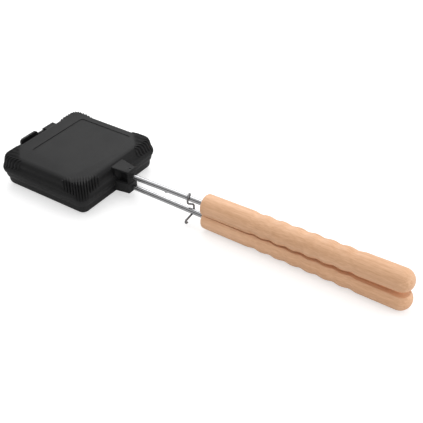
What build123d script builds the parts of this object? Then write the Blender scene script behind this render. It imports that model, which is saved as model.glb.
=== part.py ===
"""Pie iron: two hinged cast iron pan halves on steel rods with turned wooden handles.

Millimetres. +X runs along the rods to the handle ends and +Z is up. The origin is the
centre of the flat outer face of the lower half. The halves meet at the parting plane.
Side profiles are drawn as (inset from the widest outline, height from the parting plane).
"""
from build123d import *
from math import cos, pi, radians, sin, tan
import os

# Pan halves, outside
pan_length = 130.0  # over the rim, along X
pan_width = 131.6  # over the rim, along Y
pan_corner = 14.3  # plan radius of the rim's corners
half_height = 19.9  # parting plane to the flat outer face of each half
parting_gap = 0.3  # between the closed halves
ring_depth = 13.4  # how far in the swept side ring reaches
core_overlap = 0.5  # of the middle block into the ring, within the lid's flat

# Side profile of each half
rim_height = 7.0
rim_round = 0.9  # inset of the rim's edges from its widest line
lower_rim_inset = 2.6  # how much smaller the lower rim is all round
upper_wall_inset = 4.8
lower_wall_inset = 5.2
cove_rise = 1.36  # height of the cove over the rim for each millimetre that it steps in
shoulder_radius = 7.5

# Fluted corners, measured from the middle of the pan along the diagonal
flute_start = 64.2  # where the flutes begin
flute_pitch = 3.0
flute_count = 15
slot_width = 1.6
crest_inset = 1.5  # inset of the ridges from the rim's widest line
crest_foot = 9.0  # height where the ridges start to round over
crest_overlap = 0.8  # how far the ridges stop short of the lid's flat
slot_clear = 0.3  # how much deeper the slots are than the plain side
slot_sink = 0.15  # of the slots' floor at the lid, under the face
bevel_angle = 8.0  # degrees that the ridges drop where they leave the lid
bevel_reach = 23.0
bevel_drop = 8.9
slot_angle = 14.0
slot_reach = 20.0
slot_drop = 11.4
slot_overshoot = 7.0  # how far outside the rim the slots are cut from

# Lid panel
panel_length = 77.0
panel_width = 85.0
panel_shift_x = 1.0
panel_shift_y = 6.0  # the panel lies off centre
panel_corner = 4.0
panel_depth = 0.6

# Cavity in each half
land_width = 6.0  # inset of the cavity's mouth from the widest outline
floor_thickness = 4.5
cavity_draft = 4.5  # how much further in the cavity's floor is than its mouth
mouth_corner = 12.0
floor_corner = 22.0
cavity_round = 3.0

# Rods
rod_diameter = 6.0
upper_rod_height = 7.1  # axis above the parting plane at the lug's end
lower_rod_depth = 6.8  # axis below the parting plane at the lug's end
upper_rod_lean = 0.87  # degrees away from the parting plane
lower_rod_lean = 0.6
rod_socket = 14.0  # length of rod inside the lug
stop_from_lug = 46.8  # pressed stop, from the lug's end
stop_length = 4.4
stop_stand = 1.5  # how far the stop stands below the rod
stop_width = 2.0

# Lugs that hold the rods
lug_reach = 15.7  # beyond the rim
lug_root_width = 21.0
lug_end_width = 14.0
upper_lug_root = 17.2  # height above the parting plane at the pan wall
upper_lug_end = 15.6  # height above the parting plane at the lug's end
lower_lug_root = 12.6
lower_lug_end = 12.2
lug_round = 1.6
lug_root_overlap = 2.4  # how far the lug reaches in past the wall
lug_shell = 2.2  # roof of the pocket, and its end wall
pocket_floor = 3.7  # middle plane to the floor of the pocket
pocket_from_rim = 2.2
pin_from_end = 3.1
pin_diameter = 3.0
pin_recess = 0.4  # how far the pin's head sits below the lug's face
pin_short = 0.6  # how far the pin's foot stops inside the rod's far side

# Hinge at the rear
hinge_back = 5.4  # pivot axis behind the rim
hinge_height = 9.0  # pivot axis above the parting plane
hinge_pin_radius = 1.7
hinge_clearance = 0.05
barrel_radius = 3.1
barrel_start = 16.0  # Y of the barrel's near end
barrel_length = 16.0
tab_start = -22.4  # Y of the tab's outer edge
tab_end = 4.8  # Y of the tab's inner edge, where the pin starts
tab_thickness = 3.0
tab_height = 15.2  # above the parting plane
tab_round = 4.0
tab_root_depth = 10.5  # below the parting plane
tab_root_top = 2.5  # parting plane to the top of the tab's root
web_rise = 3.0  # of the web's top over the pivot at the wall

# Handles
handle_front = 99.6  # lug's end to the handle's front face
handle_length = 236.8
handle_diameter = 24.5
handle_chamfer = 2.6
handle_gap = 0.36  # between the two flats at the front
tang_length = 60.0  # rod inside the handle
ripple_count = 7
ripple_pitch = 18.3
ripple_first = 65.5  # front face to the first groove
ripple_depth = 1.2

# Wire latch
wire_diameter = 2.2
wire_clearance = 0.3  # between the wire and either rod
latch_from_lug = 77.3  # lug's end to the middle of the eye
eye_start = 172.0  # angle round the upper rod of the wire's cut end, from the far side
eye_turn = 215.0  # degrees that the wire wraps round the upper rod
eye_advance = 5.2  # how far along the rod the wrap moves
strand_offset = 1.0  # far-side offset of the short strand under the upper rod
jog_drop = 9.3  # upper rod's axis to the jog between the rods
jog_advance = 3.0  # far strand, along the rod from the middle of the eye
wire_bend = 1.9  # least bend radius on the wire's centre line
hook_turn = 45.0  # degrees of the hook's first bend, under the lower rod
hook_lean = 8.0  # degrees that the finger end drops from level
finger_run = 10.0
finger_radius = 2.0
finger_turn = 225.0
eye_sides = 5  # corners that the wrap is bent from
bend_fill = 0.95  # share of the room between two corners that a bend takes

# Worked out
parting = half_height
rear_x = -pan_length / 2
side_y = -pan_width / 2
rod_radius = rod_diameter / 2
wire_radius = wire_diameter / 2
lug_end = pan_length / 2 + lug_reach
upper_face = parting + parting_gap / 2
lower_face = parting - parting_gap / 2
hinge_x = rear_x - hinge_back
hinge_z = parting + hinge_height
handle_radius = handle_diameter / 2
core_length = pan_length - 2 * (ring_depth - core_overlap)  # middle of a half, inside the swept ring
core_width = pan_width - 2 * (ring_depth - core_overlap)

UPPER = 1
LOWER = -1


def side_plane():
    """Plane across the middle of the near side: X is the inset, Y the height."""
    return Plane(origin=(0, side_y, parting), x_dir=(0, 1, 0), z_dir=(1, 0, 0))


def quarter_path():
    """A quarter of the rim's outline, from the middle of one side to the next."""
    with BuildLine(Plane.XY.offset(parting)) as path:
        FilletPolyline((0, side_y), (-rear_x, side_y), (-rear_x, 0), radius=pan_corner)
    return path.line


def rod_lean(side):
    """Angle of a rod away from the parting plane, in radians."""
    return radians(upper_rod_lean if side == UPPER else lower_rod_lean)


def rod_direction(side):
    """Unit vector along a rod."""
    return Vector(cos(rod_lean(side)), 0, side * sin(rod_lean(side)))


def rod_point(side, from_lug_end):
    """Point on a rod's axis at a distance in X from the lug's end."""
    start = upper_rod_height if side == UPPER else -lower_rod_depth
    rise = side * tan(rod_lean(side)) * from_lug_end
    return Vector(lug_end + from_lug_end, 0, parting + start + rise)


def rod_plane(side, from_lug_end):
    """Plane square to a rod, with its normal along the rod."""
    return Plane(origin=rod_point(side, from_lug_end), x_dir=(0, 1, 0), z_dir=rod_direction(side))


def fluted_quarter(rim_inset, wall_inset):
    """A quarter of a half, solid, in the upper position, with slots along the diagonal of its corner."""
    rim_edge = rim_inset + rim_round
    wall_foot = rim_height + (wall_inset - rim_edge) * cove_rise
    flat_inset = wall_inset + shoulder_radius
    start = flute_start - rim_inset
    diagonal_up = Plane(origin=(0, 0, parting), x_dir=(1, -1, 0), z_dir=(-1, -1, 0))
    diagonal_flat = Plane(origin=(0, 0, parting), x_dir=(1, -1, 0), z_dir=(0, 0, 1))
    beyond = pan_length  # longer than any cut has to reach
    # Slots: deeper than the plain side, and than the ridges where they leave the lid
    with BuildPart() as slots:
        with BuildSketch(side_plane()):
            with BuildLine():
                floor_line = Line((wall_inset + slot_clear, rim_height + slot_clear),
                                  (wall_inset + slot_clear, half_height - shoulder_radius))
                floor_turn = TangentArc(floor_line @ 1, (flat_inset + slot_clear, half_height - slot_sink),
                                        tangent=(0, 1))
                Polyline(floor_turn @ 1, (flat_inset + slot_clear, half_height + slot_clear),
                         (-slot_overshoot, half_height + slot_clear),
                         (-slot_overshoot, rim_height + slot_clear), floor_line @ 0)
            make_face()
        sweep(path=quarter_path())
        with BuildSketch(diagonal_up):
            with BuildLine():
                slot_start = (start + slot_clear, half_height)
                slot_fall = radians(slot_angle)
                slot_turn = TangentArc(slot_start, (start + slot_reach, half_height - slot_drop),
                                       tangent=(cos(slot_fall), -sin(slot_fall)))
                Polyline(slot_turn @ 1, (beyond, half_height - slot_drop), (beyond, half_height + slot_clear),
                         (start + slot_clear, half_height + slot_clear), slot_start)
            make_face()
        extrude(amount=beyond, both=True)
        with BuildSketch(diagonal_flat):
            with Locations(((start + beyond) / 2, 0)):
                with GridLocations(beyond, flute_pitch, 1, flute_count):
                    Rectangle(beyond - start, slot_width)
        extrude(amount=2 * half_height, mode=Mode.INTERSECT)
    # Fuller shoulder that the slots are cut in, only beyond their start
    with BuildPart() as crest:
        with BuildSketch(side_plane()):
            with BuildLine():
                crest_line = Line((rim_inset + crest_inset, rim_height - rim_round),
                                  (rim_inset + crest_inset, crest_foot))
                crest_turn = TangentArc(crest_line @ 1, (flat_inset - crest_overlap, half_height),
                                        tangent=(0, 1))
                Polyline(crest_turn @ 1, (ring_depth, half_height), (ring_depth, rim_height - rim_round),
                         crest_line @ 0)
            make_face()
        sweep(path=quarter_path())
        with BuildSketch(diagonal_flat):
            with Locations(((start + beyond) / 2, 0)):
                Rectangle(beyond - start, 2 * beyond)
        extrude(amount=2 * half_height, mode=Mode.INTERSECT)
    with BuildPart() as quarter:
        with BuildSketch(side_plane()):
            with BuildLine():
                ThreePointArc((rim_edge, 0), (rim_inset, rim_height / 2), (rim_edge, rim_height))
                TangentArc((wall_inset, wall_foot), (rim_edge, rim_height), tangent=(0, -1))
                Line((wall_inset, wall_foot), (wall_inset, half_height - shoulder_radius))
                CenterArc((flat_inset, half_height - shoulder_radius), shoulder_radius, 90, 90)
                Polyline((flat_inset, half_height), (ring_depth, half_height), (ring_depth, 0), (rim_edge, 0))
            make_face()
        sweep(path=quarter_path())
        add(crest.part)
        with BuildSketch(Plane.XY.offset(parting)):
            Rectangle(core_length / 2, core_width / 2, align=(Align.MIN, Align.MAX))
        extrude(amount=half_height)
        with BuildSketch(diagonal_up):
            with BuildLine():
                bevel_fall = radians(bevel_angle)
                bevel = TangentArc((start, half_height), (start + bevel_reach, half_height - bevel_drop),
                                   tangent=(cos(bevel_fall), -sin(bevel_fall)))
                Polyline(bevel @ 1, (beyond, half_height - bevel_drop), (beyond, half_height + slot_clear),
                         (start, half_height + slot_clear), bevel @ 0)
            make_face()
        extrude(amount=beyond, both=True, mode=Mode.SUBTRACT)
        add(slots.part, mode=Mode.SUBTRACT)
    return quarter.part


# Hollow shared by both halves
with BuildPart() as cavity:
    for inset, depth, corner in ((land_width, 0, mouth_corner),
                                 (land_width + cavity_draft, half_height - floor_thickness, floor_corner)):
        with BuildSketch(Plane.XY.offset(parting + depth)):
            RectangleRounded(pan_length - 2 * inset, pan_width - 2 * inset, corner)
    loft()
    fillet(cavity.faces().sort_by(Axis.Z)[-1].edges(), cavity_round)


def make_lug(root_height, end_height, wall_inset):
    """A lug in the upper half's position: tapered in plan, with a sloping roof."""
    start = -rear_x - wall_inset - lug_root_overlap
    with BuildPart() as lug:
        with BuildSketch(Plane.XZ):
            Polygon((start, parting), (lug_end, parting), (lug_end, parting + end_height),
                    (start, parting + root_height), align=None)
        extrude(amount=lug_root_width / 2, both=True)
        with BuildSketch(Plane.XY):
            Polygon((start, -lug_root_width / 2), (lug_end, -lug_end_width / 2), (lug_end, lug_end_width / 2),
                    (start, lug_root_width / 2), align=None)
        extrude(amount=2 * parting + end_height, mode=Mode.INTERSECT)
        far_face = lug.faces().sort_by(Axis.X)[-1]
        fillet(far_face.edges().filter_by(Axis.Z) + far_face.edges().sort_by(Axis.Z)[-1:], lug_round)
    return lug.part


# Upper half: fluted lid with a stepped rim, a pocketed lug and the hinge barrel
with BuildPart() as upper_pan:
    add(fluted_quarter(0.0, upper_wall_inset))
    mirror(about=Plane.YZ)
    mirror(about=Plane.XZ)
    with BuildSketch(Plane.XY.offset(parting + half_height)):
        with Locations((panel_shift_x, panel_shift_y)):
            RectangleRounded(panel_length, panel_width, panel_corner)
    extrude(amount=-panel_depth, mode=Mode.SUBTRACT)
    add(make_lug(upper_lug_root, upper_lug_end, upper_wall_inset))
    # Web and barrel of the hinge
    with BuildSketch(Plane.XZ.offset(-barrel_start)):
        with Locations((hinge_x, hinge_z)):
            Circle(barrel_radius)
        web_end = rear_x + upper_wall_inset + lug_root_overlap
        Polygon((hinge_x, hinge_z - barrel_radius), (web_end, hinge_z - barrel_radius),
                (web_end, hinge_z + web_rise), (hinge_x, hinge_z + barrel_radius), align=None)
    extrude(amount=-barrel_length)
    add(cavity.part, mode=Mode.SUBTRACT)
    # Pocket in the near side of the lug
    pocket_start = -rear_x + pocket_from_rim
    pocket_end = lug_end - lug_shell
    with BuildSketch(Plane.XZ.offset(lug_root_width / 2)):
        Polygon((pocket_start, parting + lug_shell / 2), (pocket_end, parting + lug_shell / 2),
                (pocket_end, parting + upper_lug_end - lug_shell),
                (pocket_start, parting + upper_lug_root - lug_shell), align=None)
    extrude(amount=-(lug_root_width / 2 - pocket_floor), mode=Mode.SUBTRACT)
    # Bores for the hinge pin, the rod and the rod's pin
    with Locations(Plane(origin=(hinge_x, barrel_start, hinge_z), z_dir=(0, 1, 0))):
        Cylinder(hinge_pin_radius + hinge_clearance, barrel_length, mode=Mode.SUBTRACT,
                 align=(Align.CENTER, Align.CENTER, Align.MIN))
    with Locations(rod_plane(UPPER, -rod_socket)):
        Cylinder(rod_radius, 2 * rod_socket, mode=Mode.SUBTRACT,
                 align=(Align.CENTER, Align.CENTER, Align.MIN))
    with Locations(rod_point(UPPER, -pin_from_end)):
        Cylinder(pin_diameter / 2, half_height, mode=Mode.SUBTRACT,
                 align=(Align.CENTER, Align.CENTER, Align.MIN))
    split(bisect_by=Plane.XY.offset(upper_face), keep=Keep.TOP)

# Lower half: the same casting a little smaller, with a closed lug and the hinge tab
with BuildPart() as lower_pan:
    mirror(fluted_quarter(lower_rim_inset, lower_wall_inset), about=Plane.XY.offset(parting))
    mirror(about=Plane.YZ)
    mirror(about=Plane.XZ)
    mirror(make_lug(lower_lug_root, lower_lug_end, lower_wall_inset), about=Plane.XY.offset(parting))
    split(bisect_by=Plane.XY.offset(lower_face), keep=Keep.BOTTOM)
    # Hinge tab with its root and the pin that the upper barrel turns on
    with BuildSketch(Plane.YZ.offset(hinge_x - tab_thickness / 2)):
        with BuildLine():
            FilletPolyline((tab_start, parting - tab_root_depth), (tab_start, parting + tab_height),
                           (tab_end, parting + tab_height), (tab_end, parting - tab_root_depth),
                           radius=tab_round)
            Line((tab_end, parting - tab_root_depth), (tab_start, parting - tab_root_depth))
        make_face()
    extrude(amount=tab_thickness)
    with BuildSketch(Plane.YZ.offset(hinge_x)):
        with Locations(((tab_start + tab_end) / 2, parting - (tab_root_top + tab_root_depth) / 2)):
            Rectangle(tab_end - tab_start, tab_root_depth - tab_root_top)
    extrude(amount=hinge_back + lower_wall_inset + lug_root_overlap)
    with Locations(Plane(origin=(hinge_x, tab_end, hinge_z), z_dir=(0, 1, 0))):
        Cylinder(hinge_pin_radius, barrel_start + barrel_length - tab_end,
                 align=(Align.CENTER, Align.CENTER, Align.MIN))
    mirror(cavity.part, about=Plane.XY.offset(parting), mode=Mode.SUBTRACT)
    with Locations(rod_plane(LOWER, -rod_socket)):
        Cylinder(rod_radius, 2 * rod_socket, mode=Mode.SUBTRACT,
                 align=(Align.CENTER, Align.CENTER, Align.MIN))
    with Locations(rod_point(LOWER, -pin_from_end)):
        Cylinder(pin_diameter / 2, half_height, mode=Mode.SUBTRACT,
                 align=(Align.CENTER, Align.CENTER, Align.MAX))


def rod(side):
    """A straight round rod from inside the lug to inside the handle."""
    with BuildPart() as bar:
        with Locations(rod_plane(side, -rod_socket)):
            rod_length = (rod_socket + handle_front) / cos(rod_lean(side)) + tang_length
            Cylinder(rod_radius, rod_length, align=(Align.CENTER, Align.CENTER, Align.MIN))
        with Locations(rod_point(side, -pin_from_end)):
            Cylinder(pin_diameter / 2, 2 * rod_diameter, mode=Mode.SUBTRACT)
    return bar.part


def lug_pin(side, root_height, end_height):
    """Pin driven through the lug's outer face and the rod, its head just under the surface."""
    slope_length = lug_reach + (upper_wall_inset if side == UPPER else lower_wall_inset) + lug_root_overlap
    face_height = end_height + (root_height - end_height) * pin_from_end / slope_length
    head = parting + side * (face_height - pin_recess)
    foot = rod_point(side, -pin_from_end).Z - side * (rod_radius - pin_short)
    with BuildPart() as pin:
        with Locations((lug_end - pin_from_end, 0, foot)):
            Cylinder(pin_diameter / 2, abs(head - foot), rotation=(90 - 90 * side, 0, 0),
                     align=(Align.CENTER, Align.CENTER, Align.MIN))
    return pin.part


def handle(side):
    """Turned handle: plain front, rippled grip, plain rear with a round end, planed flat inside."""
    front = rod_point(side, handle_front)
    along = rod_direction(side)
    profile_plane = Plane(origin=front, x_dir=along, z_dir=(0, -1, 0))
    ripple_start = ripple_first - ripple_pitch / 2
    ripple_end = ripple_start + ripple_count * ripple_pitch
    with BuildPart() as grip:
        with BuildSketch(profile_plane):
            with BuildLine():
                Polyline((handle_length, 0), (tang_length, 0), (tang_length, rod_radius), (0, rod_radius),
                         (0, handle_radius - handle_chamfer))
                CenterArc((handle_chamfer, handle_radius - handle_chamfer), handle_chamfer, 90, 90)
                Line((handle_chamfer, handle_radius), (ripple_start, handle_radius))
                for number in range(ripple_count):
                    crest = ripple_start + number * ripple_pitch
                    Spline((crest, handle_radius), (crest + ripple_pitch / 2, handle_radius - ripple_depth),
                           (crest + ripple_pitch, handle_radius), tangents=((1, 0), (1, 0)))
                Line((ripple_end, handle_radius), (handle_length - handle_radius, handle_radius))
                CenterArc((handle_length - handle_radius, 0), handle_radius, 0, 90)
            make_face()
        revolve(axis=Axis(front, along))
        flat_distance = (rod_point(UPPER, handle_front).Z - rod_point(LOWER, handle_front).Z - handle_gap) / 2
        flat_point = front - profile_plane.y_dir * side * flat_distance
        flat_plane = Plane(origin=flat_point, x_dir=along, z_dir=profile_plane.y_dir)
        split(bisect_by=flat_plane, keep=Keep.TOP if side == UPPER else Keep.BOTTOM)
    return grip.part


def eye_corners(radius):
    """Corners of the wire's wrap round the upper rod, as far side, height and distance along it."""
    step = eye_turn / eye_sides
    corners = [(radius * cos(radians(eye_start)), radius * sin(radians(eye_start)), eye_advance / 2)]
    for number in range(eye_sides):
        turned = (number + 0.5) * step
        reach = radius / cos(radians(step / 2))
        angle = radians(eye_start - turned)
        corners.append((reach * cos(angle), reach * sin(angle), eye_advance * (0.5 - turned / eye_turn)))
    return corners


def hook_corners(radius, drop):
    """Corners of the hook: down behind the lower rod, under it, and out to the near side."""
    second_turn = 90 - hook_lean - hook_turn
    second_reach = radius / cos(radians(second_turn / 2))
    second_angle = radians(-hook_turn - second_turn / 2)
    return [
        (radius, -drop - radius * tan(radians(hook_turn / 2)), jog_advance),
        (second_reach * cos(second_angle), -drop + second_reach * sin(second_angle), jog_advance),
    ]


def curl_corners(start, sides):
    """Corners of the finger curl, from the near end of the hook round under it."""
    step = finger_turn / sides
    heading = 180 + hook_lean
    corners = [start]
    for number in range(sides):
        stride = finger_radius * tan(radians(step / 2)) * min(number + 1, 2)
        corners.append((corners[-1][0] + stride * cos(radians(heading)),
                        corners[-1][1] + stride * sin(radians(heading)), jog_advance))
        heading += step
    return corners[1:]


# Wire latch: an open eye on the upper rod, a jog, a hook under the lower rod and a finger curl
with BuildPart() as wire_latch:
    wire_path_radius = rod_radius + wire_clearance + wire_radius
    far_strand = latch_from_lug + jog_advance
    rods_apart = rod_point(UPPER, far_strand).Z - rod_point(LOWER, far_strand).Z
    wrap = eye_corners(wire_path_radius)
    strand_top = wrap[-1][1] - (wrap[-1][0] - strand_offset)
    hook = hook_corners(wire_path_radius, rods_apart)
    finger_start = (hook[-1][0] - (finger_run + finger_radius) * cos(radians(hook_lean)),
                    hook[-1][1] - (finger_run + finger_radius) * sin(radians(hook_lean)), jog_advance)
    finger = curl_corners(finger_start, eye_sides)
    wire_points = wrap + [
        (strand_offset, strand_top, -eye_advance / 2),
        (strand_offset, -jog_drop, -eye_advance / 2),
        (wire_path_radius, -jog_drop - wire_clearance, jog_advance),
        *hook,
        *finger,
    ]
    round_rod = bend_fill * wire_path_radius
    round_curl = bend_fill * finger_radius
    wire_radii = [round_rod] * eye_sides + [wire_bend] * 3 + [round_rod] * 2 + [round_curl] * (eye_sides - 1)
    with BuildLine(rod_plane(UPPER, latch_from_lug)) as wire_line:
        FilletPolyline(*wire_points, radius=wire_radii)
    with BuildSketch(Plane(origin=wire_line.line @ 0, z_dir=wire_line.line % 0)):
        Circle(wire_radius)
    sweep(path=wire_line.line)


# Pressed stop on the underside of the upper rod
with BuildPart() as upper_rod:
    add(rod(UPPER))
    stop_plane = Plane(origin=rod_point(UPPER, stop_from_lug), x_dir=rod_direction(UPPER), z_dir=(0, -1, 0))
    with BuildSketch(stop_plane):
        with Locations((0, -rod_radius / 2)):
            Ellipse(stop_length / 2, rod_radius / 2 + stop_stand)
    extrude(amount=stop_width / 2, both=True)


subparts = {
    "lower_pan": lower_pan.part,
    "upper_pan": upper_pan.part,
    "lower_rod": rod(LOWER),
    "upper_rod": upper_rod.part,
    "lower_rod_pin": lug_pin(LOWER, lower_lug_root, lower_lug_end),
    "upper_rod_pin": lug_pin(UPPER, upper_lug_root, upper_lug_end),
    "lower_handle": handle(LOWER),
    "upper_handle": handle(UPPER),
    "wire_latch": wire_latch.part,
}
os.makedirs("parts", exist_ok=True)
for name, piece in subparts.items():
    piece.label = name
    export_step(piece, f"parts/{name}.step")
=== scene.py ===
from math import atan2, cos, radians, sin, tan

import bmesh
import bpy
from mathutils import Matrix, Vector


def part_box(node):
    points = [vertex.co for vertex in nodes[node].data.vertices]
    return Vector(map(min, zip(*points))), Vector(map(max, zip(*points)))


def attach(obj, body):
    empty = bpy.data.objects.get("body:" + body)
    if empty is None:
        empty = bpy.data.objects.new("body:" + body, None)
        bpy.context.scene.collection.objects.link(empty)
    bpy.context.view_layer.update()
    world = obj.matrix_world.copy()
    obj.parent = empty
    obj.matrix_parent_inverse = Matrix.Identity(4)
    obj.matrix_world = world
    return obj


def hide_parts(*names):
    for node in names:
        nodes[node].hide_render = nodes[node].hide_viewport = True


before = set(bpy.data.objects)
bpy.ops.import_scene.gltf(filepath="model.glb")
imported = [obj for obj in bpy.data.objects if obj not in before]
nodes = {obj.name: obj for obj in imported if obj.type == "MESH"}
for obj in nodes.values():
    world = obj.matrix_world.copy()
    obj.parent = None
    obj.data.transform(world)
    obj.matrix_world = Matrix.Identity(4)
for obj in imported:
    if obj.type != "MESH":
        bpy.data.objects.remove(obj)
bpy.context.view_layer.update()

# Camera: a long lens about a metre away, above the near side and past the handle ends,
# rolled a little about its own line of sight.
view_azimuth = radians(36.38)
view_elevation = radians(36.43)
view_roll = radians(-1.78)
view_distance = 0.9954
aim_point = Vector((0.1443, 0.0589, -0.0318))
back = Vector((sin(view_azimuth) * cos(view_elevation), -cos(view_azimuth) * cos(view_elevation),
               sin(view_elevation)))
level_right = Vector((cos(view_azimuth), sin(view_azimuth), 0.0))
level_up = back.cross(level_right)
right = level_right * cos(view_roll) + level_up * sin(view_roll)
up = back.cross(right)
camera = bpy.data.objects.new("camera", bpy.data.cameras.new("camera"))
bpy.context.scene.collection.objects.link(camera)
camera.data.lens = 73.11
camera.data.sensor_width = 36.0
camera.data.clip_end = 20.0
camera.matrix_world = (Matrix.Translation(aim_point + back * view_distance)
                       @ Matrix((right, up, back)).transposed().to_4x4())
bpy.context.scene.camera = camera
bpy.context.scene.view_settings.view_transform = "Standard"


# Floor: a sheet of white board under the iron. It leans by under half a degree, because the
# iron stands on the rear edge of the lower pan and on the round end of the lower handle.

def new_material(name):
    """A new node material and its one shader."""
    material = bpy.data.materials.new(name)
    material.use_nodes = True
    return material, material.node_tree.nodes["Principled BSDF"]


def add_node(material, kind, source=None, **values):
    """A shader node with the named inputs set; source goes into its first input."""
    tree = material.node_tree
    node = tree.nodes.new("ShaderNode" + kind)
    for key, value in values.items():
        node.inputs[key.replace("_", " ")].default_value = value
    if source is not None:
        tree.links.new(source, node.inputs[0])
    return node


def join(material, output, target):
    """Link an output to an input."""
    material.node_tree.links.new(output, target)


low_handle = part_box("lower_handle")
rear_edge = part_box("lower_pan")[0][0] + 0.019
lean = atan2(-low_handle[0][2], low_handle[1][0] - 0.012 - rear_edge)
bpy.ops.object.select_all(action="DESELECT")
bpy.ops.mesh.primitive_plane_add(size=40.0, location=(rear_edge, 0.0, -0.0002), rotation=(0.0, lean, 0.0))
floor = bpy.context.object
floor.name = "floor"
white_board, shader = new_material("white_board")
shader.inputs["Base Color"].default_value = (0.62, 0.62, 0.62, 1.0)
shader.inputs["Roughness"].default_value = 0.95
shader.inputs["Specular IOR Level"].default_value = 0.0
glow = add_node(white_board, "Emission", Color=(1.0, 1.0, 1.0, 1.0), Strength=0.56)
seen_sum = add_node(white_board, "AddShader", shader.outputs[0])
join(white_board, glow.outputs[0], seen_sum.inputs[1])
board_place = add_node(white_board, "TexCoord")
board_grain = add_node(white_board, "TexNoise", board_place.outputs["Object"], Scale=40.0, Detail=3.0)
board_shade = add_node(white_board, "MapRange", board_grain.outputs["Fac"])
board_shade.inputs["To Min"].default_value = 0.74
board_shade.inputs["To Max"].default_value = 0.8
unseen = add_node(white_board, "BsdfDiffuse")
join(white_board, board_shade.outputs["Result"], unseen.inputs["Color"])
ray_kind = add_node(white_board, "LightPath")
by_ray = add_node(white_board, "MixShader", ray_kind.outputs["Is Camera Ray"])
join(white_board, unseen.outputs[0], by_ray.inputs[1])
join(white_board, seen_sum.outputs[0], by_ray.inputs[2])
join(white_board, by_ray.outputs[0], white_board.node_tree.nodes["Material Output"].inputs["Surface"])
floor.data.materials.append(white_board)

# Light: a bright room, with a wide softbox overhead, one behind the iron and a weak one beside
# its handles. One low spot of the room is dark, and the rods mirror it as a dark line.
world = bpy.data.worlds.new("studio")
bpy.context.scene.world = world
world.use_nodes = True
sky_place = add_node(world, "TexCoord")
towards_room = add_node(world, "VectorMath", sky_place.outputs["Generated"])
towards_room.operation = "DOT_PRODUCT"
room_azimuth = radians(-36.0)
room_height = radians(6.0)
towards_room.inputs[1].default_value = (sin(room_azimuth) * cos(room_height),
                                        -cos(room_azimuth) * cos(room_height), sin(room_height))
room_ramp = add_node(world, "ValToRGB", towards_room.outputs["Value"])
room_ramp.color_ramp.interpolation = "EASE"
room_ramp.color_ramp.elements[0].position = 0.87
room_ramp.color_ramp.elements[0].color = (0.74, 0.74, 0.74, 1.0)
room_ramp.color_ramp.elements[1].position = 0.985
room_ramp.color_ramp.elements[1].color = (0.05, 0.05, 0.05, 1.0)
join(world, room_ramp.outputs["Color"], world.node_tree.nodes["Background"].inputs["Color"])


def softbox(name, distance, azimuth, elevation, width, height, energy):
    """A rectangular lamp facing the middle of the iron."""
    lamp = bpy.data.objects.new(name, bpy.data.lights.new(name, "AREA"))
    bpy.context.scene.collection.objects.link(lamp)
    lamp.data.shape = "RECTANGLE"
    lamp.data.size = width
    lamp.data.size_y = height
    lamp.data.energy = energy
    away = Vector((sin(azimuth) * cos(elevation), -cos(azimuth) * cos(elevation), sin(elevation)))
    lamp.location = Vector((0.1, 0.0, 0.0)) + away * distance
    lamp.rotation_euler = away.to_track_quat("Z", "Y").to_euler()


softbox("overhead_softbox", 1.2, radians(216.0), radians(80.0), 1.0, 1.0, 3.6)
softbox("rear_softbox", 1.2, radians(216.0), radians(42.0), 0.9, 0.5, 4.5)
softbox("side_softbox", 1.2, radians(105.0), radians(22.0), 0.8, 0.6, 2.5)


# Upper pan: the lid of the iron, one hollow sand casting of grey iron blackened with baked
# oil. It has a stepped rim, fluted corners, a sunk panel, a lug pocketed on its near side
# for the rod, and the hinge barrel at the rear. Sizes here are in millimetres.

def math_node(material, operation, first, second):
    """A maths node of two inputs, each an output to link or a number."""
    node = add_node(material, "Math")
    node.operation = operation
    for number, value in enumerate((first, second)):
        if isinstance(value, (int, float)):
            node.inputs[number].default_value = value
        else:
            join(material, value, node.inputs[number])
    return node.outputs[0]


def cast_iron(name, shift, gloss):
    """Black oiled iron, finely grained and pitted; shift moves the pattern between castings."""
    material, shader = new_material(name)
    shader.inputs["Specular IOR Level"].default_value = gloss
    place = add_node(material, "TexCoord")
    moved = add_node(material, "Mapping", place.outputs["Object"], Location=(shift, 0.0, 0.0))
    skin = moved.outputs["Vector"]
    mottle = add_node(material, "TexNoise", skin, Scale=38.0, Detail=6.0, Roughness=0.6)
    grain = add_node(material, "TexNoise", skin, Scale=1100.0, Detail=3.0, Roughness=0.6)
    pits = add_node(material, "TexVoronoi", skin, Scale=620.0)
    shade = math_node(material, "MULTIPLY", grain.outputs["Fac"], 0.5)
    mottle_share = math_node(material, "MULTIPLY", mottle.outputs["Fac"], 0.5)
    shade = math_node(material, "ADD", shade, mottle_share)
    black = add_node(material, "ValToRGB", shade)
    black.color_ramp.elements[0].position = 0.35
    black.color_ramp.elements[0].color = (0.0042, 0.0042, 0.0045, 1.0)
    black.color_ramp.elements[1].position = 0.65
    black.color_ramp.elements[1].color = (0.0085, 0.0085, 0.009, 1.0)
    join(material, black.outputs["Color"], shader.inputs["Base Color"])
    sheen = add_node(material, "MapRange", mottle.outputs["Fac"])
    sheen.inputs["To Min"].default_value = 0.5
    sheen.inputs["To Max"].default_value = 0.66
    join(material, sheen.outputs["Result"], shader.inputs["Roughness"])
    sand = add_node(material, "Bump", Strength=0.5, Distance=0.0002)
    join(material, grain.outputs["Fac"], sand.inputs["Height"])
    pitted = add_node(material, "Bump", Strength=0.25, Distance=0.0002)
    join(material, pits.outputs["Distance"], pitted.inputs["Height"])
    join(material, sand.outputs["Normal"], pitted.inputs["Normal"])
    join(material, pitted.outputs["Normal"], shader.inputs["Normal"])
    return material


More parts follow.
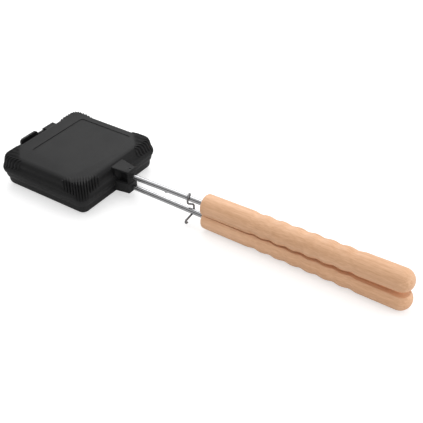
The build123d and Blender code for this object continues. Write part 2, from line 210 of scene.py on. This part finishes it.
millimetre = 0.001
parting = 19.9  # height of the plane where the halves meet, and each half's own height
face_gap = 0.15  # from that plane to either half's face
half_length = 65.0
half_width = 65.8
rim_corner = 14.3
rim_height = 7.0
rim_round = 0.9  # how far the rim bulges
cove_slope = 1.36  # rise of the cove above the rim for each step inward
shoulder = 7.5
lid_rim_inset = 0.0
lid_wall_inset = 4.8
least_corner = 1.0


def side_profile(rim_inset, wall_inset):
    """Side of a half as (inset, height over the parting plane): rim, cove, wall and shoulder."""
    rim_middle = rim_height / 2
    rim_bend = (rim_middle ** 2 + rim_round ** 2) / (2 * rim_round)
    profile = []
    for step in range(7):
        height = face_gap + step * (rim_height - face_gap) / 6
        profile.append((rim_inset + rim_bend - (rim_bend ** 2 - (height - rim_middle) ** 2) ** 0.5, height))
    step_in = wall_inset - rim_inset - rim_round
    rise = step_in * cove_slope
    cove_bend = (step_in ** 2 + rise ** 2) / (2 * step_in)
    cove_turn = atan2(rise, cove_bend - step_in)
    for step in range(1, 7):
        angle = cove_turn * (step / 6 - 1)
        profile.append((wall_inset - cove_bend + cove_bend * cos(angle),
                        rim_height + rise + cove_bend * sin(angle)))
    for step in range(9):
        angle = radians(90.0 / 8 * step)
        profile.append((wall_inset + shoulder - shoulder * cos(angle),
                        parting - shoulder + shoulder * sin(angle)))
    return profile


def take_up(piece, choose):
    """Open a piece in edit mode, with only the points that choose picks selected."""
    bpy.ops.object.select_all(action="DESELECT")
    piece.select_set(True)
    bpy.context.view_layer.objects.active = piece
    bpy.ops.object.mode_set(mode="EDIT")
    bpy.ops.mesh.select_all(action="DESELECT")
    mesh = bmesh.from_edit_mesh(piece.data)
    for vert in mesh.verts:
        vert.select = choose(vert.co / millimetre)
    mesh.select_flush(True)
    bmesh.update_edit_mesh(piece.data)


def everywhere(point):
    """Pick every point."""
    return True


def shift(piece, choose, offset):
    """Move the points that choose picks."""
    take_up(piece, choose)
    bpy.ops.transform.translate(value=Vector(offset) * millimetre)
    bpy.ops.object.mode_set(mode="OBJECT")


def round_edges(piece, width, choose, steps=4):
    """Round the edges both of whose ends are points that choose picks."""
    take_up(piece, choose)
    bpy.ops.mesh.bevel(offset=width * millimetre, segments=steps, profile=0.5, affect="EDGES",
                       loop_slide=False)
    bpy.ops.object.mode_set(mode="OBJECT")


def block(low, high):
    """A box between two corners, whose tapered sides split from their lower rear corners."""
    bpy.ops.object.select_all(action="DESELECT")
    bpy.ops.mesh.primitive_cube_add(size=millimetre, calc_uvs=False, rotation=(0.0, radians(90.0), 0.0))
    bpy.ops.object.transform_apply()
    bpy.context.object.scale = Vector(high) - Vector(low)
    bpy.context.object.location = (Vector(low) + Vector(high)) / 2 * millimetre
    bpy.ops.object.transform_apply()
    return bpy.context.object


def bar(radius, centre, axis, low, high):
    """A round bar along an axis (0, 1, 2), between two values of it."""
    middle = list(centre)
    middle.insert(axis, (low + high) / 2)
    turn = ((0.0, radians(90.0), 0.0), (radians(90.0), 0.0, 0.0), (0.0, 0.0, 0.0))[axis]
    bpy.ops.object.select_all(action="DESELECT")
    bpy.ops.mesh.primitive_cylinder_add(vertices=32, radius=radius * millimetre, rotation=turn,
                                        depth=(high - low) * millimetre, calc_uvs=False,
                                        location=Vector(middle) * millimetre)
    bpy.ops.object.transform_apply()
    return bpy.context.object


def carve(piece, *cutters):
    """Take the cutters out of a piece, by exact booleans."""
    for cutter in cutters:
        bpy.context.view_layer.objects.active = piece
        cut = piece.modifiers.new("cut", "BOOLEAN")
        cut.object = cutter
        cut.operation = "DIFFERENCE"
        cut.solver = "EXACT"
        bpy.ops.object.modifier_apply(modifier=cut.name)
        bpy.data.meshes.remove(cutter.data)


def rounded_plane(inset, radius, height):
    """Add a level plane inset from the pan's outline, and round its corners."""
    middle = (0.0, 0.0, height * millimetre)
    bpy.ops.mesh.primitive_plane_add(size=2 * millimetre, location=middle, calc_uvs=False)
    bpy.ops.transform.resize(value=(half_length - inset, half_width - inset, 1.0), center_override=middle)
    bpy.ops.mesh.bevel(offset=radius * millimetre, segments=12, profile=0.5, affect="VERTICES")


def shell(side, rim_inset, wall_inset):
    """A hollow half, side 1 for the upper and -1 for the lower, from outer face to cavity floor."""
    loops = [(inset, max(rim_corner - inset, least_corner), height)
             for inset, height in reversed(side_profile(rim_inset, wall_inset))]
    loops += [(6.0, 12.0, face_gap), (7.8, 16.0, 6.3), (9.6, 20.0, 12.4),
              (10.0, 20.8, 13.9), (10.9, 21.2, 15.0), (12.6, 20.5, 15.4)]  # its cavity
    piece = bpy.data.objects.new("shell", bpy.data.meshes.new("shell"))
    bpy.context.scene.collection.objects.link(piece)
    take_up(piece, everywhere)
    for pair in zip(loops, loops[1:]):
        for inset, radius, height in pair:
            rounded_plane(inset, radius, parting + side * height)
            bpy.ops.mesh.delete(type="ONLY_FACE")
        bpy.ops.mesh.select_all(action="SELECT")
        bpy.ops.mesh.bridge_edge_loops()
        bpy.ops.mesh.select_all(action="SELECT")
        bpy.ops.mesh.hide()
    bpy.ops.mesh.reveal()
    bpy.ops.mesh.select_all(action="SELECT")
    bpy.ops.mesh.remove_doubles(threshold=0.001 * millimetre)
    bpy.ops.mesh.fill_holes(sides=0)
    bpy.ops.mesh.select_all(action="SELECT")
    bpy.ops.mesh.normals_make_consistent()
    bpy.ops.object.mode_set(mode="OBJECT")
    return piece


def casting(name, parts, node, body, material):
    """Join closed parts into one piece, which stands for a node and rides on its body."""
    bpy.ops.object.select_all(action="DESELECT")
    for part in parts:
        part.select_set(True)
    piece = parts[0]
    bpy.context.view_layer.objects.active = piece
    bpy.ops.object.join()
    bpy.ops.object.shade_smooth_by_angle(angle=radians(28.0))
    piece.name = piece.data.name = name
    piece.data.materials.append(material)
    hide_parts(node)
    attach(piece, body)


# The flutes of each corner run along its diagonal. Their floors fall in two planes, each given
# by where it starts past flute_start, its depth there and its fall in degrees.
flute_start = 64.2
deep_floor = ((0.0, 0.0, 12.0), (8.0, 1.7, 50.0))
shallow_floor = ((0.0, 0.0, 3.0), (15.2, 0.8, 62.0))
fluted_corners = ((1, 1, deep_floor), (-1, 1, shallow_floor), (-1, -1, deep_floor), (1, -1, deep_floor))
lid = shell(1, lid_rim_inset, lid_wall_inset)
for side_x, side_y, floors in fluted_corners:
    for start, depth, fall in floors:
        outward = Vector((side_x, side_y, 0.0)).normalized()
        point = outward * (flute_start + start) + Vector((0.0, 0.0, 2 * parting - depth))
        normal = outward * sin(radians(fall)) + Vector((0.0, 0.0, cos(radians(fall))))
        take_up(lid, everywhere)
        bpy.ops.mesh.bisect(plane_co=point * millimetre, plane_no=normal, use_fill=True,
                            clear_outer=True, threshold=0.0)
        bpy.ops.mesh.select_all(action="SELECT")
        bpy.ops.mesh.normals_make_consistent()
        bpy.ops.object.mode_set(mode="OBJECT")

# its sunk panel, 0.6 deep, a little off the middle
panel_near, panel_far = (-37.5, -36.5), (39.5, 48.5)
panel = block((*panel_near, 2 * parting - 0.6), (*panel_far, 2 * parting + 1.1))
for corner in (panel_near, (panel_far[0], panel_near[1]), panel_far, (panel_near[0], panel_far[1])):
    round_edges(panel, 4.0, lambda point: (point.xy - Vector(corner)).length < 0.1, 6)
carve(lid, panel)

# The ridges between the flutes are cast standing proud, in thin blades that run into the shell.
# Each has its own length and crest, so each is lofted from the formula of the outline.
flute_pitch = 3.0
ridge_count = 16
ridge_half = 0.7
root_two = 2 ** 0.5
blades = bmesh.new()


def reach(offset, inset):
    """How far a line beside the diagonal runs from the middle to the inset outline."""
    radius = max(rim_corner - inset, least_corner)
    end_x, end_y = half_length - inset, half_width - inset
    centre_x, centre_y = end_x - radius, end_y - radius
    centre_along, centre_offset = (centre_x + centre_y) / root_two, (centre_x - centre_y) / root_two
    if abs(offset - centre_offset) < radius:
        along = centre_along + (radius ** 2 - (offset - centre_offset) ** 2) ** 0.5
        if (along + offset) / root_two > centre_x and (along - offset) / root_two > centre_y:
            return along
    return min(end_x * root_two - offset, end_y * root_two + offset)


def between(table, value):
    """Straight-line interpolation in rows of (x, y) that rise in x."""
    for (x_low, y_low), (x_high, y_high) in zip(table, table[1:]):
        if value <= x_high:
            return y_low + (y_high - y_low) * (value - x_low) / (x_high - x_low)
    return table[-1][1]


def add_blade(offset, half, back, side_x, side_y, floors):
    """Loft a ridge beside a corner's diagonal, set back from the crest, unless it is too short."""
    crest = ((0.5, 0.7), (3.5, 0.05), (6.4, 0.9), (9.0, 2.0), (12.0, 2.7),
             (15.2, 3.4), (17.6, 4.4), (19.1, 5.7), (19.88, 7.3))
    plain = sorted((height, inset) for inset, height in side_profile(lid_rim_inset, lid_wall_inset))
    heights = (1.0, 2.2, 3.5, 5.0, 6.4, 7.6, 9.0, 10.5, 12.0,
               13.6, 15.2, 16.6, 17.6, 18.4, 19.1, 19.5, 19.88)
    proud = min(1.0, (24.0 - abs(offset)) / 10.0)  # the outer ridges sink into the plain side
    overlap = 0.8  # how far the blade runs into the shell
    rings = []
    for height in heights:
        drop = parting - height
        start, depth, fall = floors[1] if drop >= floors[1][1] else floors[0]
        floor_end = flute_start + start + (drop - depth) / tan(radians(fall))
        plain_inset = between(plain, height)
        wall = min(reach(offset - half, plain_inset), reach(offset + half, plain_inset))
        inner = max(min(wall, floor_end) - overlap, flute_start - 0.3)
        crest_inset = proud * between(crest, height) + (1.0 - proud) * plain_inset + back
        near_end, far_end = reach(offset - half, crest_inset), reach(offset + half, crest_inset)
        if min(near_end, far_end) > flute_start:
            near_end, far_end = max(near_end, inner + 0.05), max(far_end, inner + 0.05)
            ends = ((inner, -half), (near_end, -half), (far_end, half), (inner, half))
            rings.append([blades.verts.new(Vector((side_x * (along + offset + beside) / root_two,
                                                   side_y * (along - offset - beside) / root_two,
                                                   parting + height - back)) * millimetre)
                          for along, beside in ends])
    if len(rings) > 1:
        for low, high in zip(rings, rings[1:]):
            for number in range(4):
                after = (number + 1) % 4
                blades.faces.new((low[number], low[after], high[after], high[number]))
        blades.faces.new(rings[0][::-1])
        blades.faces.new(rings[-1])


for number in range(ridge_count):
    offset = (number - (ridge_count - 1) / 2) * flute_pitch
    for side_x, side_y, floors in fluted_corners:
        add_blade(offset, ridge_half, 0.0, side_x, side_y, floors)
        if floors is shallow_floor:
            add_blade(offset, flute_pitch / 2, 0.5, side_x, side_y, floors)
bmesh.ops.delete(blades, geom=[vert for vert in blades.verts if not vert.link_faces], context="VERTS")
bmesh.ops.recalc_face_normals(blades, faces=blades.faces)
ridges = bpy.data.objects.new("ridges", bpy.data.meshes.new("ridges"))
bpy.context.scene.collection.objects.link(ridges)
blades.to_mesh(ridges.data)
blades.free()

# its lug, which tapers to the end where the rod comes out
lug_root, lug_end = 57.4, 80.7
lug_root_half, lug_end_half = 10.5, 7.0
lid_face_root = 59.4
pin_x = 77.6
pin_bore = 1.55
rod_bore = 3.2
rod_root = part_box("upper_rod")[0][0] / millimetre


def lug(face_root, face, back_at_root, back_at_end):
    """A lug from inside the wall to the rod's end, between its half's face and its own back."""
    piece = block((lug_root, -lug_root_half, min(face, back_at_root)),
                  (lug_end, lug_root_half, max(face, back_at_root)))
    for side in (-1, 1):
        shift(piece, lambda point: at_lug_end(point) and point.y * side > 0,
              (0.0, side * (lug_end_half - lug_root_half), 0.0))
    shift(piece, lambda point: not at_lug_end(point) and abs(point.z - face) < 0.1,
          (face_root - lug_root, 0.0, 0.0))
    shift(piece, lambda point: at_lug_end(point) and abs(point.z - back_at_root) < 0.1,
          (0.0, 0.0, back_at_end - back_at_root))
    return piece


def at_lug_end(point):
    """Pick the points of the lug's end."""
    return point.x > lug_end - 0.7


def on_pocket_mouth(point):
    """Pick the pocket's edge in the lug's near face."""
    taper = (lug_root_half - lug_end_half) / (lug_end - lid_face_root)
    near_face = -lug_root_half + (point.x - lid_face_root) * taper
    return abs(point.y - near_face) < 0.1 and 61.5 < point.x < 79.0 and 20.8 < point.z < 35.0


upper_lug = lug(lid_face_root, parting + face_gap, 37.1, 35.5)
round_edges(upper_lug, 1.2, lambda point: at_lug_end(point) or point.z > 35.0)
pocket = block((62.4, -12.0, 21.0), (78.5, -3.7, 35.3))
for at_end, at_mouth, drop in ((True, True, 1.2), (True, False, 1.7), (False, False, 0.9)):
    shift(pocket, lambda point: point.z > 30.0 and (point.x > 70.0) == at_end and (point.y < -8.0) == at_mouth,
          (0.0, 0.0, -drop))
shift(pocket, lambda point: point.x < 70.0 and point.y > -8.0, (4.8, 0.0, 0.0))
carve(upper_lug, pocket)
round_edges(upper_lug, 0.8, on_pocket_mouth)
carve(upper_lug, bar(pin_bore, (pin_x, 0.0), 2, 29.0, 40.0),
      bar(rod_bore, (0.0, parting + 7.1), 0, rod_root, 83.0))

# its hinge barrel, on a web from the rear wall
hinge_axis = (-70.4, 28.9)
web = block((-70.4, 16.0, 25.8), (-58.8, 32.0, 31.9))
shift(web, lambda point: point.x < -70.0 and point.z > 30.0, (0.0, 0.0, 0.1))
carve(web, bar(2.4, hinge_axis, 1, 15.0, 33.0))
barrel = bar(3.1, hinge_axis, 1, 15.99, 32.01)
carve(barrel, bar(1.75, hinge_axis, 1, 15.0, 33.0))
casting("lid_casting", [lid, upper_lug, web, barrel, ridges], "upper_pan", "upper_half",
        cast_iron("lid_iron", 0.0, 0.24))

# Lower pan: the second hollow casting, a little smaller all round and plain at its corners,
# with a closed lug, the hinge tab at the rear and the pin that the lid's barrel turns on.
lower_rim_inset = 2.6
lower_wall_inset = 5.2
lower_lug = lug(59.2, parting - face_gap, 7.3, 7.7)
round_edges(lower_lug, 1.4, at_lug_end)
carve(lower_lug, bar(pin_bore, (pin_x, 0.0), 2, 0.0, 11.0),
      bar(rod_bore, (0.0, parting - 6.8), 0, rod_root, 83.0))
tab_near, tab_far, tab_foot, tab_top = -22.4, 4.8, 9.4, 35.1
tab_half = 1.5
tab = block((hinge_axis[0] - tab_half, tab_near, tab_foot), (hinge_axis[0] + tab_half, tab_far, tab_top))
for tab_side in (tab_near, tab_far):
    round_edges(tab, 4.0, lambda point: point.z > tab_top - 0.1 and abs(point.y - tab_side) < 0.1, 6)
round_edges(tab, 0.35, everywhere)
tab_root = block((-70.4, tab_near, tab_foot), (-59.0, tab_far, 17.4))
hinge_pin = bar(1.7, hinge_axis, 1, 4.0, 32.0)
casting("lower_casting", [shell(-1, lower_rim_inset, lower_wall_inset), lower_lug, tab, tab_root, hinge_pin],
        "lower_pan", "lower_half", cast_iron("lower_iron", 0.31, 0.4))


# Rods: two drawn steel bars, bright but unpolished, with fine lines along their length. Each
# is pinned in its half's lug and runs into a bore in its handle.

def cover(name, material):
    """Put one material on a node."""
    nodes[name].data.materials.clear()
    nodes[name].data.materials.append(material)


def drawn_steel(name, dark, light, smooth, rough):
    """Steel with fine lines along X, between two greys and two roughnesses."""
    material, shader = new_material(name)
    shader.inputs["Metallic"].default_value = 1.0
    place = add_node(material, "TexCoord")
    stretch = add_node(material, "Mapping", place.outputs["Object"], Scale=(12.0, 900.0, 900.0))
    lines = add_node(material, "TexNoise", stretch.outputs["Vector"], Scale=1.0, Detail=4.0, Roughness=0.6)
    steel = add_node(material, "ValToRGB", lines.outputs["Fac"])
    steel.color_ramp.elements[0].position = 0.3
    steel.color_ramp.elements[0].color = (dark, dark, dark * 1.02, 1.0)
    steel.color_ramp.elements[1].position = 0.7
    steel.color_ramp.elements[1].color = (light, light, light * 1.02, 1.0)
    join(material, steel.outputs["Color"], shader.inputs["Base Color"])
    finish = add_node(material, "MapRange", lines.outputs["Fac"])
    finish.inputs["To Min"].default_value = smooth
    finish.inputs["To Max"].default_value = rough
    join(material, finish.outputs["Result"], shader.inputs["Roughness"])
    relief = add_node(material, "Bump", Strength=0.15, Distance=0.0001)
    join(material, lines.outputs["Fac"], relief.inputs["Height"])
    join(material, relief.outputs["Normal"], shader.inputs["Normal"])
    return material


cover("lower_rod", drawn_steel("lower_rod_steel", 0.38, 0.5, 0.16, 0.26))
cover("upper_rod", drawn_steel("upper_rod_steel", 0.38, 0.52, 0.16, 0.26))

# Rod pins: short steel pins driven into the lugs and blackened with the castings.
for name in ("lower_rod_pin", "upper_rod_pin"):
    cover(name, drawn_steel(name + "_steel", 0.02, 0.05, 0.45, 0.6))

# Wire latch: spring steel wire, bent cold, duller and darker than the rods.
cover("wire_latch", drawn_steel("latch_wire", 0.16, 0.28, 0.28, 0.42))


# Handles: turned beech under clear lacquer, with fine grain and flecks along their length
# and a warmer tone in broad bands. Each is driven onto the end of its rod.

def turned_beech(name, shift, tone):
    """Beech with its grain along X; shift moves the pattern, tone scales its colour, and the handles'
    different tones are painted light.
    """
    material, shader = new_material(name)
    shader.inputs["Specular IOR Level"].default_value = 0.35
    place = add_node(material, "TexCoord")
    fibre_place = add_node(material, "Mapping", place.outputs["Object"], Scale=(16.0, 420.0, 420.0),
                           Location=(shift, shift, 0.0))
    fibre = add_node(material, "TexNoise", fibre_place.outputs["Vector"], Scale=1.0, Detail=5.0,
                     Roughness=0.65)
    band_place = add_node(material, "Mapping", place.outputs["Object"], Scale=(5.0, 70.0, 70.0),
                          Location=(shift, 0.0, shift))
    bands = add_node(material, "TexNoise", band_place.outputs["Vector"], Scale=1.0, Detail=3.0,
                     Roughness=0.5)
    fleck_place = add_node(material, "Mapping", place.outputs["Object"], Scale=(120.0, 900.0, 900.0))
    flecks = add_node(material, "TexVoronoi", fleck_place.outputs["Vector"], Scale=1.0)
    shade = math_node(material, "MULTIPLY", fibre.outputs["Fac"], 0.45)
    band_share = math_node(material, "MULTIPLY", bands.outputs["Fac"], 0.4)
    shade = math_node(material, "ADD", shade, band_share)
    fleck_share = math_node(material, "MULTIPLY", flecks.outputs["Distance"], 0.15)
    shade = math_node(material, "ADD", shade, fleck_share)
    wood = add_node(material, "ValToRGB", shade)
    wood.color_ramp.elements[0].position = 0.36
    wood.color_ramp.elements[0].color = (0.66 * tone, 0.365 * tone, 0.2 * tone, 1.0)
    wood.color_ramp.elements[1].position = 0.64
    wood.color_ramp.elements[1].color = (0.85 * tone, 0.525 * tone, 0.325 * tone, 1.0)
    join(material, wood.outputs["Color"], shader.inputs["Base Color"])
    gloss = add_node(material, "MapRange", fibre.outputs["Fac"])
    gloss.inputs["To Min"].default_value = 0.36
    gloss.inputs["To Max"].default_value = 0.5
    join(material, gloss.outputs["Result"], shader.inputs["Roughness"])
    relief = add_node(material, "Bump", Strength=0.12, Distance=0.0002)
    join(material, fibre.outputs["Fac"], relief.inputs["Height"])
    join(material, relief.outputs["Normal"], shader.inputs["Normal"])
    return material


# Painted light: the lower handle's beech is set 6% lighter than the upper's, to even out the stronger light
# that falls on the upper handle.
cover("lower_handle", turned_beech("lower_beech", 0.7, 1.06))
cover("upper_handle", turned_beech("upper_beech", 0.0, 1.0))
